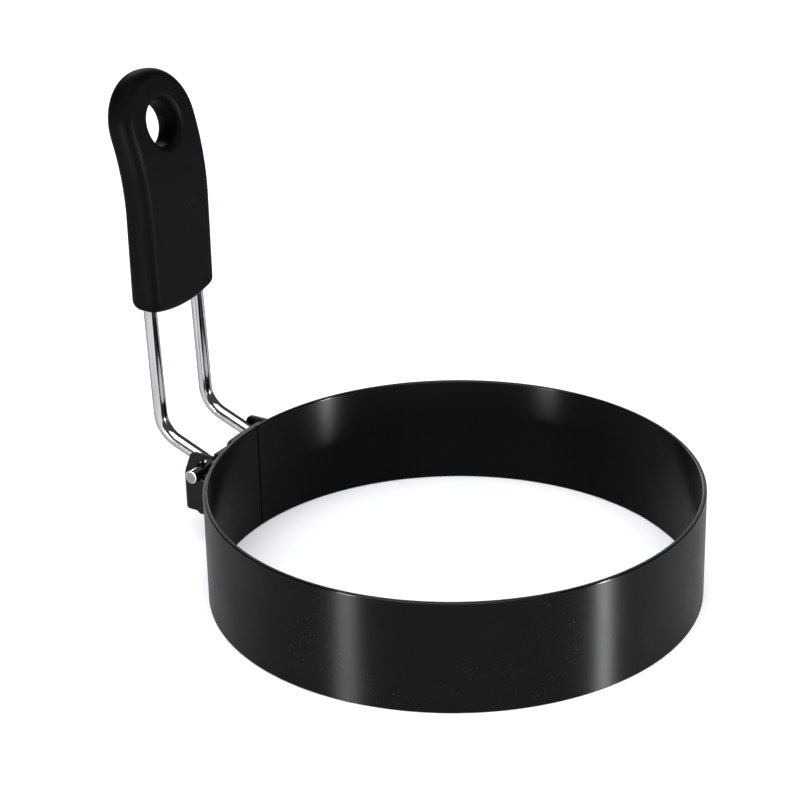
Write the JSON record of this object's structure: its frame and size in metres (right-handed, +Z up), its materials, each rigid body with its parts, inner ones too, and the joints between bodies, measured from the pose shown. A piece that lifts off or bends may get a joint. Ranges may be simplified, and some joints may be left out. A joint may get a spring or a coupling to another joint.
{
  "type": "egg ring with folding handle",
  "caption": "Round open ring that holds an egg in shape in a pan, with a wire handle that folds down over the ring and a soft grip with a hanging hole",
  "frame": {"origin": "middle of the whole part's footprint, on the plane of the ring's lower rim", "axes": "+Z up out of the ring, X through the ring's centre and the handle with the handle on -X, Y along the handle's hinge"},
  "size_m": [0.1116, 0.089, 0.0872],
  "materials": {
    "band_coating": "black non-stick coating on steel strip, satin, inside and out",
    "bracket_coating": "black non-stick coating on folded steel sheet, satin",
    "wire": "polished bright steel wire",
    "grip": "matte black moulded silicone"
  },
  "bodies": {
    "ring": {"ring_band": "band_coating", "hinge_bracket": "bracket_coating"},
    "handle": {"handle_wire": "wire", "grip": "grip"}
  },
  "joints": [
    {"name": "handle_fold", "type": "hinge", "parent": "ring", "child": "handle", "pos_m": [-0.03659, 0, 0.0157], "axis": [0, 1, 0], "range_deg": [-32, 95]}
  ]
}
